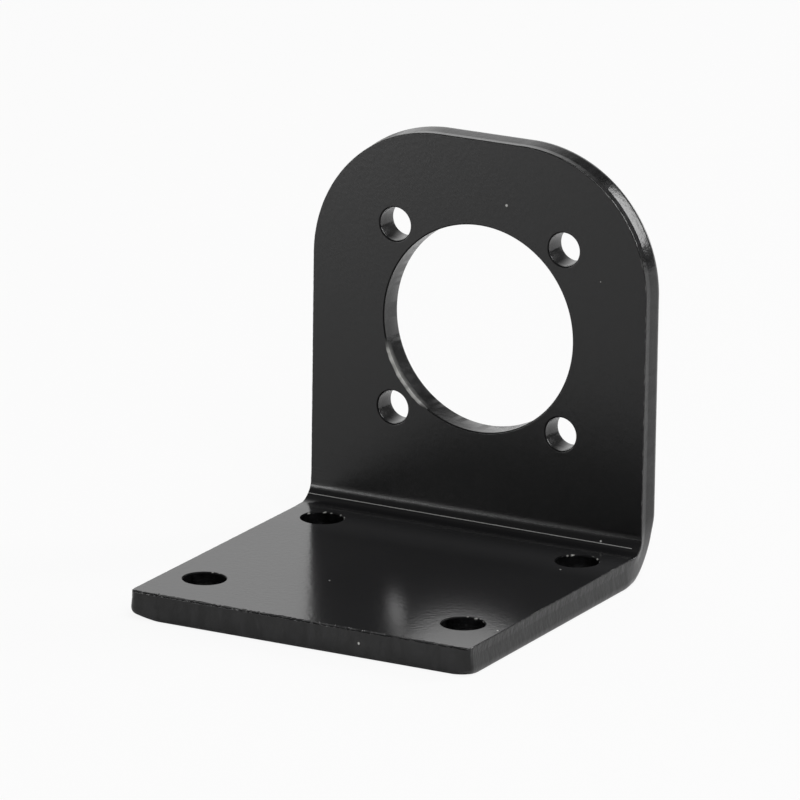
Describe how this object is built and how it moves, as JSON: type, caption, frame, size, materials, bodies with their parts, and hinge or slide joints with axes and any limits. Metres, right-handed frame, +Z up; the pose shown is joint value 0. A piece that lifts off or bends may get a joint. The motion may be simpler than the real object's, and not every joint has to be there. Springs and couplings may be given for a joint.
{
  "type": "motor mounting bracket",
  "caption": "Right-angle bracket folded from steel plate: a flat foot with screw holes and an upright with rounded corners, a large bore and a ring of screw holes for a gearmotor.",
  "frame": {"origin": "on the underside of the foot, midway between its sides and midway between its front edge and the back of the upright", "axes": "+Z up out of the foot, +X to the right, +Y from the foot's front edge towards the upright; the motor's axis runs along Y"},
  "size_m": [0.0398, 0.041, 0.0447],
  "materials": {
    "black_paint": "semi-gloss black dip paint with a very fine grain"
  },
  "bodies": {
    "root": {"motor_bracket": "black_paint"}
  },
  "joints": []
}
